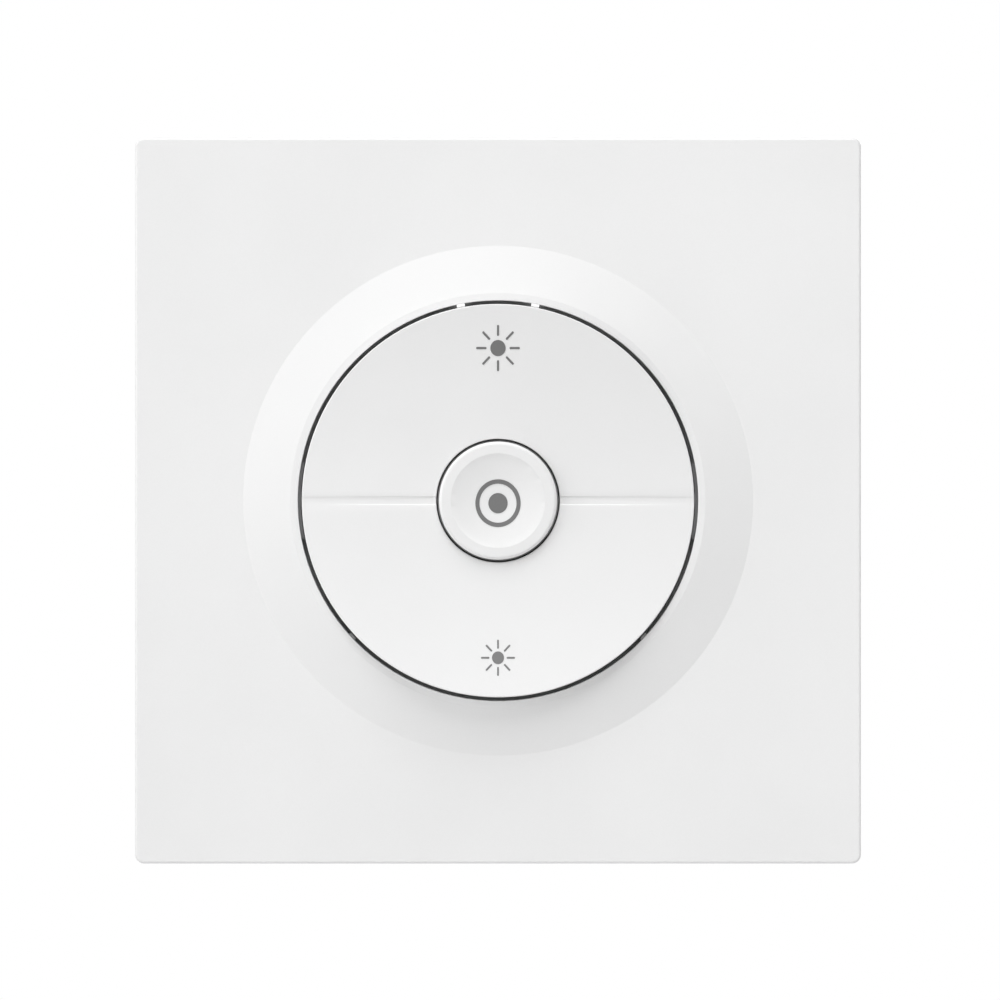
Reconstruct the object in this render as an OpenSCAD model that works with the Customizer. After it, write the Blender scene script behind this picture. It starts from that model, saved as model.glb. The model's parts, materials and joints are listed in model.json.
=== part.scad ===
// Flush-mounted dimmer switch for a round wall box: a square cover plate, a round rocker key that
// brightens and dims, a dished button in its middle, and a rear housing with push-in terminals.
// Millimetres. The wall is the plane Y = 0, the room is on the -Y side, and +Z is up.
// Each module draws in its own upright frame, X right, Y up and Z out of the wall, and on_wall()
// turns it to face the room.

/* [Cover plate] */
// Side of the square cover plate
plate_w = 80; // [78:1:90]
// Height of the plate's face above the wall
plate_front = 9.5; // [9:0.5:12]
// Thickness of the plate's walls
plate_wall = 2; // [1.6:0.1:2.4]
// Radius of the plate's four upright corners
plate_corner_r = 1; // [0.8:0.1:2]
// Rounding of the plate's front edge
plate_edge_r = 0.3; // [0.2:0.1:0.7]
// Diameter of the foot of the raised ring
ring_foot_d = 56.2; // [53:0.2:60]
// Height of the raised ring above the plate's face
ring_rise = 1.2; // [0.8:0.1:1.6]
// Width of the flat land round the opening
ring_land_w = 0.8; // [0.5:0.1:1.2]
// How far the sleeve round the opening reaches behind the land
sleeve_depth = 2.4; // [2.2:0.1:3]

/* [Rocker key] */
// Diameter of the round rocker key
key_d = 43.2; // [42:0.2:44]
// Gap between the key and the plate's opening
key_gap = 0.45; // [0.35:0.05:0.6]
// Height of the key's middle above the land
key_lift = 0.1; // [0:0.05:0.4]
// How far the key's top and bottom edges stand above its middle
key_dish = 2.2; // [1:0.1:2.6]
// Thickness of the key's face
key_skin = 1.8; // [1.4:0.1:2.2]
// Thickness of the key's skirt
key_skirt_wall = 1.5; // [1.2:0.1:2]
// Tilt of the key each way, in degrees
key_tilt = 2; // [1:0.25:2]
// Width of the groove across the key's middle
groove_w = 1; // [0.6:0.1:1.4]
// Depth of that groove
groove_depth = 0.12; // [0.08:0.02:0.2]
// Distance of each of the key's two feet from its middle
foot_y = 13; // [12:0.5:13.5]
// Diameter of the feet that press the rubber domes
foot_d = 4; // [3:0.2:4.4]

/* [Hinge] */
// Depth of the hinge axis behind the key's middle
hinge_drop = 3.5; // [3:0.1:4]
// Diameter of the key's two hinge pins
pin_d = 2; // [1.6:0.1:2.4]
// How far each pin stands out of the key's skirt
pin_len = 1.7; // [1.3:0.1:1.8]
// Radial clearance of a pin in its ear
pin_clearance = 0.05; // [0.03:0.01:0.08]
// Width of the hinge ears
ear_w = 8.4; // [7:0.2:9]

/* [Centre button] */
// Diameter of the centre button
button_d = 13; // [12:0.2:14]
// Gap between the button and the key
button_gap = 0.3; // [0.3:0.05:0.5]
// Height of the button's rim above the key's middle
button_proud = 1; // [0.6:0.1:1.4]
// Thickness of the button's cap at its edge
button_cap_t = 2.9; // [2.6:0.1:3.2]
// Diameter of the dish in the button
dish_d = 10.4; // [9:0.2:11]
// Depth of that dish
dish_depth = 0.65; // [0.2:0.05:0.8]
// Rounding of the button's rim
button_edge_r = 0.4; // [0.2:0.1:0.6]
// Travel of the button
button_travel = 0.8; // [0.4:0.1:1]
// Diameter of the button's stem
stem_d = 9; // [8.4:0.2:9.4]
// Thickness of the button's stem
stem_wall = 1.2; // [1:0.1:1.6]

/* [Front housing] */
// Thickness of the housing's floor
floor_t = 2; // [1.6:0.1:2.4]
// Radius of the housing's flange
flange_r = 27.2; // [27:0.1:27.6]
// Thickness of the collar round the key
collar_wall = 1.8; // [1.75:0.05:1.9]
// Thickness of the button's guide tube
tube_wall = 1.25; // [1:0.05:1.4]
// Width of the four latches that hold the cover plate
latch_w = 6; // [5:0.5:8]

/* [Support frame] */
// Gap between the steel frame's edge and the plate's walls
frame_gap = 2.5; // [1.5:0.5:3]
// Thickness of its sheet
frame_t = 1.2; // [1:0.1:1.5]
// Height of its two turned-up edges
frame_lip = 3; // [2:0.5:5]
// Distance between a wall box's two screws
box_screw_spacing = 60; // [59:0.5:61]
// Width of the slots for those screws
slot_w = 3.8; // [3.6:0.1:4.2]
// Length of those slots from end to end
slot_l = 7; // [6:0.5:8]

/* [Rear housing] */
// Side of the rear housing
body_w = 44; // [43.6:0.2:44.4]
// Radius of its corners
body_corner_r = 8; // [7:0.5:8.5]
// Thickness of its walls
body_wall = 1.8; // [1.4:0.1:2.2]
// Depth behind the wall
body_depth = 30; // [29:0.5:36]
// Thickness of the terminal cover that closes it
cover_t = 6; // [5:0.5:7]
// Distance of each long screw from the housing's two nearest sides
screw_inset = 5; // [4.8:0.1:5.2]
// Diameter of the long screws
screw_d = 2.2; // [1.8:0.1:2.4]
// Diameter of their heads
screw_head_d = 4.2; // [3.8:0.1:4.6]

/* [Terminals] */
// Number of push-in terminals
terminal_count = 4; // [4]
// Distance from one terminal to the next
terminal_pitch = 9; // [8:0.2:9.2]
// Diameter of a wire entry
wire_d = 3.2; // [2.6:0.1:3.6]
// Height of the wire entries above the middle
wire_y = 5; // [4:0.5:6]
// Distance from a wire entry up to its release button
release_up = 4.6; // [4.2:0.1:5]
// Width and height of a release button
release_w = 3; // [2.6:0.1:3.4]
// How far a release button stands out of the rear
release_proud = 1.6; // [1.5:0.1:2.5]
// Travel of a release button
release_travel = 1.4; // [1:0.1:1.4]

/* [Circuit boards] */
// Gap between the boards' edges and the housing's walls
board_edge_gap = 0.4; // [0.3:0.1:0.8]
// Thickness of the boards
board_t = 1.6; // [1.2:0.2:2]
// Thickness of the keypad's rubber sheet
mat_t = 1; // [0.8:0.1:1.4]
// Width of the keypad's rubber sheet
mat_w = 28; // [24:1:28]
// Height of that sheet
mat_h = 34.8; // [34:0.2:35]
// Diameter of a rubber dome at its foot
dome_d = 7.2; // [6.8:0.2:7.6]
// Distance from the power board to the control board
board_gap = 9; // [8.8:0.2:10]

/* [Hidden] */

$fn = 96;
// Overshoot of a cut past a face
eps = 0.5;
// Facets of the key's wide, shallow dish
dish_fn = 480;
// Clearance between pieces that are fitted by hand, and between pieces that slide
fit = 0.1;
loose = 0.3;
// Depth to which a wall is rooted in the floor it stands on
root = 0.2;

// Levels out of the wall
floor_back = frame_t;
floor_front = floor_back + floor_t;
land_z = plate_front + ring_rise;
key_z = land_z + key_lift;
hinge_z = key_z - hinge_drop;
button_z = key_z + button_proud;
cap_back = button_z - button_cap_t;

// Cover plate
open_r = key_d / 2 + key_gap;
land_r = open_r + ring_land_w;
sleeve_wall = 1.5;
sleeve_back = land_z - sleeve_depth;

// Key
key_r = key_d / 2;
key_swing = key_r * sin(key_tilt);
key_face_r = (key_r * key_r + key_dish * key_dish) / (2 * key_dish);
guide_bar_t = 0.8;
skirt_back = floor_front + guide_bar_t + key_swing + fit * 2.5;
button_hole_r = button_d / 2 + button_gap;
hole_collar_t = 1.1;
key_rib_t = 1.2;
key_rib_y = button_hole_r + hole_collar_t + key_rib_t;

// Collar of the front housing, and the hinge ears that stand in its ring
collar_in_r = key_r + 1.5 * fit;
collar_front = sleeve_back - loose;
ear_in_r = key_r + 1.2 * fit;
ear_out_r = collar_in_r + collar_wall;
ear_front = hinge_z + pin_d / 2 + 0.9;

// Keypad
dome_h = floor_t + 1.2;
dome_front = floor_back + dome_h;
dome_top_d = dome_d - 2;
dome_skin = 0.6;
foot_back = dome_front + fit;
dome_hole_d = dome_d + 0.8;

// Button
stem_r = stem_d / 2;
tube_r = stem_r + 1.2 * fit;
tube_front = cap_back - button_travel - fit;
barb_back = floor_front + button_travel + loose;
barb_t = 0.8;
barb_w = 2.4;
barb_out = 0.8;
press_pin_d = 3;
cap_foot_t = 0.5;
cap_foot_r = button_hole_r - 1.2 * fit;
dish_r = (dish_d * dish_d / 4 + dish_depth * dish_depth) / (2 * dish_depth);

// Latches of the front housing and its pegs
latch_back = floor_front + 0.4;
latch_t = 1.5;
latch_bite = 0.8;
latch_h = 1.2;
latch_r = flange_r - 0.2;
hook_r = latch_r + 2 * fit;
tower_front = collar_front - 0.9;
post_d = 2;
post_r = 25.2;
post_angle = 15;
stake_x = 18;
stake_y = 9;
stake_d = 2;
stake_head_d = 3;
stake_head_t = 0.5;

// Light guide
tick_angle = 10.8;
tick_w = 0.9;
tick_in_r = key_r + 1.3 * fit;
tick_tip_r = open_r - 0.3 * fit;
tick_out_r = open_r + 0.6;
tick_lid = 1;
led_y = 18.6;
led_size = [2, 1.2, 0.8];
guide_foot_d = 2;
centring_rib_angle = 47;
centring_rib_w = 0.9;
centring_rib_back_off = 1.3;

// Widths that follow from the plate and the rear housing
frame_w = plate_w - 2 * (plate_wall + frame_gap);
body_inner_w = body_w - 2 * body_wall;
board_w = body_inner_w - 2 * board_edge_gap;
screw_at = body_w / 2 - screw_inset;

// Levels behind the wall
board_front = floor_back - mat_t;
board_back = board_front - board_t;
power_front = board_back - board_gap;
power_back = power_front - board_t;
cover_front = cover_t - body_depth;
boss_d = 4.8;
screw_front = floor_front + 2.2;
screw_head_t = 2;
frame_hole_w = body_w + 8 * fit;

// Terminals
wire_x0 = -terminal_pitch * (terminal_count - 1) / 2;
release_y = wire_y + release_up;
release_flange_t = 1;
release_front = cover_front + release_flange_t + 1;
bar_t = 0.8;
bar_w = 5;
bar_y = wire_y - wire_d / 2 - bar_t;
spring_t = 0.4;
spring_w = 4;
spring_y = release_y + release_w / 2 + 1;
spring_back = release_front + fit;

// Turns a piece drawn upright on the wall so that it faces the room
module on_wall() {
    rotate([90, 0, 0]) children();
}

// Square of side w with rounded corners, about the origin
module rounded_square(w, r) {
    inner = w - 2 * r;
    union() {
        square([w, inner], center = true);
        square([inner, w], center = true);
        for (x = [-1, 1], y = [-1, 1]) {
            translate([x * inner / 2, y * inner / 2]) circle(r = r);
        }
    }
}

// The same with two sides of its own
module rounded_rect(w, h, r) {
    union() {
        square([w, h - 2 * r], center = true);
        square([w - 2 * r, h], center = true);
        for (x = [-1, 1], y = [-1, 1]) {
            translate([x * (w / 2 - r), y * (h / 2 - r)]) circle(r = r);
        }
    }
}

// Copies what it holds to the four corners at the distance d from both centre lines
module at_corners(d) {
    for (x = [-1, 1], y = [-1, 1]) {
        translate([x * d, y * d, 0]) children();
    }
}

// Round tube from one level to another
module tube(r_out, r_in, z0, z1) {
    translate([0, 0, z0]) difference() {
        cylinder(r = r_out, h = z1 - z0);
        translate([0, 0, -eps]) cylinder(r = r_in, h = z1 - z0 + 2 * eps);
    }
}

// Box that is centred on x and y and runs from one level to another
module slab(w, h, z0, z1) {
    translate([-w / 2, -h / 2, z0]) cube([w, h, z1 - z0]);
}

// Cylinder along X, between two distances from the middle
module bar_along_x(r, x0, x1) {
    translate([x0, 0, 0]) rotate([0, 90, 0]) cylinder(r = r, h = x1 - x0);
}

// Upright corner of the cover plate, round on its front edge
module plate_corner() {
    straight = plate_front - plate_edge_r;
    rotate_extrude($fn = 48) union() {
        square([plate_corner_r, straight]);
        square([plate_corner_r - plate_edge_r, plate_front]);
        intersection() {
            translate([plate_corner_r - plate_edge_r, straight]) circle(r = plate_edge_r, $fn = 24);
            square([plate_corner_r, plate_front]);
        }
    }
}

// Hook inside the cover plate, which snaps into a latch of the front housing
module plate_hook() {
    front = plate_front - plate_wall / 2;
    rotate([90, 0, 0]) linear_extrude(latch_w - 4 * fit, center = true) polygon([
        [hook_r, front],
        [hook_r, latch_back + latch_h],
        [hook_r - latch_bite + fit, latch_back + latch_h],
        [hook_r - latch_bite + fit, latch_back + latch_h - 0.4],
        [hook_r, latch_back],
        [hook_r + latch_t, latch_back],
        [hook_r + latch_t, front]
    ]);
}

// Square cover plate with a raised ring, a flat land and a sleeve round its opening; the light guide's
// two stems stand in slots of the sleeve, below the land
module cover_plate() {
    inner_w = plate_w - 2 * plate_wall;
    hollow_front = plate_front - plate_wall;
    rib_len = inner_w / 2 - ring_foot_d / 2;
    color("whitesmoke") on_wall() difference() {
        union() {
            difference() {
                union() {
                    hull() at_corners(plate_w / 2 - plate_corner_r) plate_corner();
                    translate([0, 0, plate_front]) cylinder(r1 = ring_foot_d / 2, r2 = land_r, h = ring_rise);
                }
                translate([0, 0, -eps]) linear_extrude(hollow_front + eps) rounded_square(inner_w, plate_corner_r);
                translate([0, 0, hollow_front - 0.01]) {
                    cylinder(r1 = ring_foot_d / 2, r2 = land_r, h = ring_rise);
                }
            }
            tube(open_r + sleeve_wall, open_r - 0.01, sleeve_back, land_z - plate_wall / 2);
            for (a = [45 : 90 : 315]) {
                rotate([0, 0, a]) plate_hook();
            }
            for (a = [0 : 90 : 270], side = [-1, 1]) {
                rotate([0, 0, a]) translate([ring_foot_d / 2, side * ring_foot_d / 4 - plate_wall / 4, hollow_front - 1.5]) {
                    cube([rib_len + plate_wall / 2, plate_wall / 2, 1.5 + plate_wall / 2]);
                }
            }
        }
        translate([0, 0, -eps]) cylinder(r = open_r, h = land_z + 2 * eps);
        ear_notches();
        for (side = [-1, 1]) {
            rotate([0, 0, 90 + side * tick_angle]) {
                slab_from(open_r - eps, tick_out_r + fit, tick_w + 2 * fit, -eps, land_z - tick_lid);
            }
        }
    }
    color("whitesmoke") on_wall() centring_ribs();
}

// Box from one radius to another, centred on the ray
module slab_from(r0, r1, w, z0, z1) {
    translate([r0, -w / 2, z0]) cube([r1 - r0, w, z1 - z0]);
}

// Room in the sleeve for the two hinge ears
module ear_notches() {
    for (side = [0, 180]) {
        rotate([0, 0, side]) {
            slab_from(open_r - eps, ear_out_r + loose, ear_w + 2 * loose, -eps, ear_front + loose);
        }
    }
}

// Two low ribs on the sleeve that centre the key from below
module centring_ribs() {
    for (side = [-1, 1]) {
        rotate([0, 0, -90 + side * centring_rib_angle]) {
            slab_from(key_r + 1.8 * fit, open_r + 0.2, centring_rib_w, sleeve_back, land_z - centring_rib_back_off);
        }
    }
}

// Wide cylinder along X whose surface is the key's dish, grown by a skin
module dish_cylinder(skin) {
    translate([0, 0, key_z + key_face_r]) rotate([0, 90, 0]) {
        cylinder(r = key_face_r + skin, h = 2 * key_d, center = true, $fn = dish_fn);
    }
}

// Flat groove with sloping sides across the key's middle
module key_groove() {
    half = groove_w / 2;
    translate([0, 0, key_z]) rotate([90, 0, 90]) linear_extrude(2 * key_d, center = true) polygon([
        [groove_depth - half, -groove_depth],
        [half - groove_depth, -groove_depth],
        [half + eps, eps],
        [-half - eps, eps]
    ]);
}

// Round rocker key with a dished face, its skirt, ribs, feet and hinge pins
module rocker_key() {
    key_edge_z = key_z + key_dish;
    key_front = key_edge_z + 1;
    inner_r = key_r - key_skirt_wall;
    rib_reach = sqrt(inner_r * inner_r - key_rib_y * key_rib_y) + key_skirt_wall / 2;
    color("white") on_wall() difference() {
        union() {
            difference() {
                translate([0, 0, skirt_back]) cylinder(r = key_r, h = key_front - skirt_back);
                difference() {
                    translate([0, 0, skirt_back - eps]) cylinder(r = inner_r, h = key_front - skirt_back);
                    dish_cylinder(key_skin);
                }
            }
            difference() {
                union() {
                    for (side = [-1, 1]) {
                        translate([0, side * foot_y, foot_back]) cylinder(d = foot_d, h = key_edge_z - foot_back);
                        translate([0, side * key_rib_y, 0]) {
                            slab(2 * rib_reach, key_rib_t, hinge_z, key_edge_z);
                        }
                        translate([0, side * (key_rib_y + inner_r) / 2, 0]) {
                            slab(key_rib_t, inner_r - key_rib_y, hinge_z, key_edge_z);
                        }
                    }
                    translate([0, 0, cap_back + fit]) cylinder(r = button_hole_r + hole_collar_t, h = key_z - cap_back);
                }
                dish_cylinder(key_skin / 2);
            }
            for (side = [0, 180]) {
                rotate([0, 0, side]) translate([0, 0, hinge_z]) {
                    bar_along_x(pin_d / 2, key_r - key_skirt_wall / 2, key_r + pin_len);
                }
            }
        }
        dish_cylinder(0);
        translate([0, 0, skirt_back - eps]) cylinder(r = button_hole_r, h = key_front);
        key_groove();
    }
}

// Half profile of the centre button's cap: a rounded rim, and a foot that closes most of the gap to the key
module button_profile() {
    r = button_d / 2;
    square([r - button_edge_r, button_cap_t]);
    square([r, button_cap_t - button_edge_r]);
    square([cap_foot_r, cap_foot_t]);
    translate([r - button_edge_r, button_cap_t - button_edge_r]) intersection() {
        circle(r = button_edge_r, $fn = 32);
        square(button_edge_r);
    }
}

// Dished round button with a hollow stem, a pin that presses its dome and two snap barbs
module centre_button() {
    core_out_r = button_d / 2 - 1.2;
    color("white") on_wall() difference() {
        union() {
            translate([0, 0, cap_back]) rotate_extrude() button_profile();
            translate([0, 0, foot_back]) cylinder(r = stem_r, h = cap_back - foot_back + eps);
            for (side = [0, 180]) {
                rotate([0, 0, side]) {
                    slab_from(stem_r - stem_wall / 2, stem_r + barb_out, barb_w, barb_back, barb_back + barb_t);
                }
            }
        }
        translate([0, 0, button_z + dish_r - dish_depth]) sphere(r = dish_r, $fn = 200);
        tube(stem_r - stem_wall, press_pin_d / 2, foot_back - eps, cap_back + 0.6);
        if (core_out_r > stem_r + 0.2) {
            tube(core_out_r, stem_r, cap_back - eps, cap_back + 1);
        }
    }
}

// One latch of the front housing, joined to the boss that takes a long screw
module latch_tower() {
    r0 = screw_at * sqrt(2);
    translate([r0, 0, floor_front - root]) cylinder(d = boss_d, h = tower_front - floor_front + root);
    rotate([90, 0, 0]) linear_extrude(latch_w, center = true) polygon([
        [r0, floor_front - root],
        [latch_r, floor_front - root],
        [latch_r, latch_back - 0.2],
        [latch_r - latch_bite, latch_back - 0.2],
        [latch_r - latch_bite, latch_back + latch_h + 0.2],
        [latch_r, latch_back + latch_h + 0.2],
        [latch_r - 0.6, tower_front],
        [r0, tower_front]
    ]);
}

// Collar round the key, open where the light guide's two ticks pass
module collar() {
    difference() {
        tube(collar_in_r + collar_wall, collar_in_r, floor_front - root, collar_front);
        for (side = [-1, 1]) {
            rotate([0, 0, 90 + side * tick_angle]) {
                slab_from(tick_in_r - eps, tick_out_r + fit, tick_w + 2 * fit, floor_front - eps, land_z);
            }
        }
    }
}

// Hinge ears: two pieces of one ring that hold the key's pins
module hinge_ears() {
    intersection() {
        tube(ear_out_r, ear_in_r, floor_front - root, ear_front);
        slab(3 * key_d, ear_w, 0, ear_front + eps);
    }
}

// Front housing: a flange on the steel frame that carries the key, the button and the boards
module front_housing() {
    color("gainsboro") on_wall() {
        difference() {
            union() {
                translate([0, 0, floor_back]) cylinder(r = flange_r, h = floor_t);
                collar();
                hinge_ears();
                for (a = [45 : 90 : 315]) {
                    rotate([0, 0, a]) difference() {
                        latch_tower();
                        translate([0, 0, floor_front - eps]) cylinder(r = collar_in_r + collar_wall / 2, h = land_z);
                    }
                }
                translate([0, 0, floor_front - root]) {
                    cylinder(r = tube_r + tube_wall, h = tube_front - floor_front + root);
                }
                for (x = [-1, 1], y = [-1, 1]) {
                    translate([x * stake_x, y * stake_y, board_back]) cylinder(d = stake_d, h = floor_back - board_back + eps);
                    translate([x * stake_x, y * stake_y, board_back - stake_head_t]) cylinder(d = stake_head_d, h = stake_head_t);
                }
                for (side = [0, 180], a = [-post_angle, post_angle]) {
                    rotate([0, 0, side + a]) translate([post_r, 0, 0]) cylinder(d = post_d, h = floor_back + eps);
                }
            }
            // Bore of the button's guide tube and the two windows for its barbs
            translate([0, 0, floor_back - eps]) cylinder(r = tube_r, h = land_z);
            slab(4 * stem_d, barb_w + 2 * fit, floor_front + fit, barb_back + barb_t + fit, $fn = 24);
            // Holes for the two outer domes and for the light guide's foot
            for (side = [-1, 1]) {
                translate([0, side * foot_y, floor_back - eps]) cylinder(d = dome_hole_d, h = floor_t + 2 * eps);
            }
            translate([0, led_y, floor_back - eps]) cylinder(d = guide_foot_d + 2 * fit, h = floor_t + 2 * eps);
            // Room for the heads of the wall box's screws
            for (a = [0 : 90 : 270]) {
                rotate([0, 0, a]) translate([box_screw_spacing / 2, 0, floor_back - eps]) cylinder(d = slot_w * 2, h = floor_t + 2 * eps);
            }
            // One bore along X for both of the key's pins
            translate([0, 0, hinge_z]) bar_along_x(pin_d / 2 + pin_clearance, -flange_r, flange_r);
            // Blind holes for the long screws
            at_corners(screw_at) translate([0, 0, floor_back - eps]) {
                cylinder(d = screw_d + fit, h = screw_front - floor_back + 2 * eps);
            }
        }
    }
}

// Stem of the light guide: it rises under the land, and only its thin tip shows in the gap
module guide_stem() {
    foot_r = collar_in_r - 1;
    foot_low = floor_front + fit;
    foot_high = floor_front + guide_bar_t - fit;
    shoulder = land_z - tick_lid - fit;
    rotate([90, 0, 0]) linear_extrude(tick_w, center = true) polygon([
        [foot_r, foot_low],
        [tick_out_r, foot_low],
        [tick_out_r, shoulder],
        [tick_tip_r, shoulder],
        [tick_tip_r, land_z],
        [tick_in_r, land_z],
        [tick_in_r, foot_high],
        [foot_r, foot_high]
    ]);
}

// Clear guide that brings the status light up to two ticks in the gap above the key
module light_guide() {
    bar_in_r = led_y - guide_foot_d / 2;
    half_angle = tick_angle + 1.5;
    color("aliceblue") on_wall() union() {
        rotate([0, 0, 90 - half_angle]) rotate_extrude(angle = 2 * half_angle) {
            translate([bar_in_r, floor_front]) square([collar_in_r - fit - bar_in_r, guide_bar_t]);
        }
        translate([0, led_y, board_front + led_size[2] + fit]) {
            cylinder(d = guide_foot_d, h = floor_front - board_front - led_size[2]);
        }
        for (side = [-1, 1]) {
            rotate([0, 0, 90 + side * tick_angle]) guide_stem();
        }
    }
}

// One rubber dome, hollow, with a plunger that bridges the contacts below it
module rubber_dome() {
    difference() {
        translate([0, 0, floor_back - dome_skin]) {
            cylinder(d1 = dome_d, d2 = dome_top_d, h = dome_h + dome_skin);
        }
        difference() {
            translate([0, 0, board_front - eps]) {
                cylinder(d1 = dome_d - dome_skin, d2 = dome_top_d - 2 * dome_skin, h = dome_front - dome_skin - board_front);
            }
            translate([0, 0, board_front + 0.7]) cylinder(d = dome_top_d / 2, h = dome_h);
        }
    }
}

// Rubber keypad: one moulded sheet with a dome under each foot and under the button
module keypad_mat() {
    color("dimgray") on_wall() union() {
        difference() {
            translate([0, 0, board_front]) linear_extrude(mat_t) rounded_rect(mat_w, mat_h, 2);
            for (y = [-foot_y, 0, foot_y]) {
                translate([0, y, board_front - eps]) cylinder(d = dome_d - dome_skin, h = mat_t + 2 * eps);
            }
        }
        for (y = [-foot_y, 0, foot_y]) {
            translate([0, y, 0]) rubber_dome();
        }
    }
}

// Slot of the steel frame, for one screw of the wall box
module screw_slot() {
    half = (slot_l - slot_w) / 2;
    translate([box_screw_spacing / 2, 0, -eps]) {
        for (x = [-half, half]) {
            translate([x, 0, 0]) cylinder(d = slot_w, h = frame_t + 2 * eps);
        }
        slab(2 * half, slot_w, 0, frame_t + 2 * eps);
    }
}

// Pressed steel frame that screws to the wall box, with two turned-up edges and notches that mark its
// middle
module support_frame() {
    cut = 9;
    corner_hole_d = 3.2;
    notch = 1.6;
    half = frame_w / 2;
    lip_w = frame_w - 2 * cut - 4;
    color("silver") on_wall() difference() {
        union() {
            linear_extrude(frame_t) polygon([
                [half - cut, half], [half, half - cut], [half, cut - half], [half - cut, -half],
                [cut - half, -half], [-half, cut - half], [-half, half - cut], [cut - half, half]
            ]);
            for (side = [-1, 1]) {
                translate([side * (half - frame_t / 2), 0, 0]) slab(frame_t, lip_w, 0, frame_t + frame_lip);
            }
        }
        translate([0, 0, -eps]) linear_extrude(frame_t + 2 * eps) rounded_square(frame_hole_w, body_corner_r + 4 * fit);
        for (a = [0 : 90 : 270]) {
            rotate([0, 0, a]) screw_slot();
        }
        at_corners(half - cut + 1) translate([0, 0, -eps]) cylinder(d = corner_hole_d, h = frame_t + 2 * eps);
        for (side = [-1, 1]) {
            translate([0, side * half, -eps]) rotate([0, 0, 45]) slab(notch, notch, 0, frame_t + 2 * eps);
        }
        for (side = [0, 180], a = [-post_angle, post_angle]) {
            rotate([0, 0, side + a]) translate([post_r, 0, -eps]) cylinder(d = post_d + fit, h = frame_t + 2 * eps);
        }
    }
}

// Rear housing: an open box with screw bosses, ledges for the power board, vents in its left and right
// sides and a shallow blank field in its upper and lower ones
module rear_housing() {
    ledge = 1.4;
    vent_len = 8;
    field = [26, 0.3, 12];
    color("lightgray") on_wall() difference() {
        union() {
            translate([0, 0, cover_front]) linear_extrude(floor_back - cover_front) difference() {
                rounded_square(body_w, body_corner_r);
                rounded_square(body_inner_w, body_corner_r - body_wall);
            }
            intersection() {
                at_corners(screw_at) translate([0, 0, cover_front]) cylinder(d = boss_d, h = floor_back - cover_front);
                translate([0, 0, cover_front]) linear_extrude(floor_back - cover_front) rounded_square(body_w, body_corner_r);
            }
            for (a = [0 : 90 : 270], x = [-1, 1]) {
                rotate([0, 0, a]) translate([x * body_inner_w / 4, body_inner_w / 2 - ledge / 2 + 0.1, 0]) {
                    slab(ledge, ledge + 0.2, cover_front, power_back);
                }
            }
        }
        at_corners(screw_at) translate([0, 0, cover_front - eps]) cylinder(d = screw_d + fit, h = floor_back - cover_front + 2 * eps);
        for (side = [-1, 1], row = [0 : 3]) {
            translate([side * body_w / 2, 0, power_front + 1.2 + row * 1.9]) slab(3 * body_wall, vent_len, 0, 0.9);
        }
        for (side = [-1, 1]) {
            translate([0, side * body_w / 2, cover_front + 5]) slab(field[0], 2 * field[1], 0, field[2]);
        }
    }
}

// Rear cover with the wire entries, the pockets of the release buttons, cooling slots and a gauge for
// the bare end of a wire
module terminal_cover() {
    lead_in = 1;
    slot_count = 5;
    gauge_l = body_w / 5;
    gauge_w = 1.6;
    gauge_t = 0.8;
    edge_step = 0.7;
    color("lightgray") on_wall() difference() {
        union() {
            translate([0, 0, -body_depth]) {
                linear_extrude(cover_t / 2) rounded_square(body_w - 2 * edge_step, body_corner_r - edge_step);
            }
            translate([0, 0, edge_step - body_depth]) {
                linear_extrude(cover_t - edge_step) rounded_square(body_w, body_corner_r);
            }
        }
        for (i = [0 : terminal_count - 1]) {
            translate([wire_x0 + i * terminal_pitch, 0, -body_depth]) {
                translate([0, wire_y, -eps]) cylinder(d = wire_d, h = cover_t + 2 * eps);
                translate([0, wire_y, 0]) cylinder(d1 = wire_d + 2 * lead_in, d2 = wire_d, h = lead_in);
                translate([0, release_y, 0]) slab(release_w + 2 * fit, release_w + 2 * fit, -eps, cover_t + eps);
            }
        }
        at_corners(screw_at) translate([0, 0, -body_depth - eps]) {
            cylinder(d = screw_d + 2 * fit, h = cover_t + 2 * eps);
            cylinder(d = screw_head_d + 4 * fit, h = screw_head_t + eps);
        }
        for (i = [0 : slot_count - 1]) {
            translate([0, -4 - 3 * i, -body_depth]) slab(body_w / 2, 1.4, -eps, cover_t + eps);
        }
        translate([0, 3 - body_w / 2, -body_depth]) slab(gauge_l, gauge_w, -eps, gauge_t);
    }
}

// One long screw with a cross recess, from the rear cover into the front housing
module long_screw() {
    head_back = -body_depth;
    recess = 0.9;
    difference() {
        union() {
            translate([0, 0, head_back]) cylinder(d = screw_head_d, h = screw_head_t);
            translate([0, 0, head_back + screw_head_t]) cylinder(d = screw_d, h = screw_front - head_back - screw_head_t);
        }
        slab(screw_head_d * 0.6, 0.7, head_back - eps, head_back + recess);
        slab(0.7, screw_head_d * 0.6, head_back - eps, head_back + recess);
    }
}

module housing_screws() {
    color("silver") on_wall() at_corners(screw_at) long_screw();
}

// Circuit board from one level forward, with its corners cut round the screw bosses
module board(z0) {
    difference() {
        translate([0, 0, z0]) linear_extrude(board_t) square(board_w, center = true);
        at_corners(screw_at) translate([0, 0, z0 - eps]) cylinder(d = boss_d + 8 * fit, h = board_t + 2 * eps);
        translate([0, 0, z0 - eps]) linear_extrude(board_t + 2 * eps) difference() {
            square(2 * board_w, center = true);
            rounded_square(body_inner_w - 4 * fit, body_corner_r - body_wall);
        }
    }
}

module control_board() {
    color("darkgreen") on_wall() difference() {
        board(board_back);
        for (x = [-1, 1], y = [-1, 1]) {
            translate([x * stake_x, y * stake_y, board_back - eps]) cylinder(d = stake_d + fit, h = board_t + 2 * eps);
        }
    }
}

module power_board() {
    color("darkgreen") on_wall() board(power_back);
}

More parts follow.
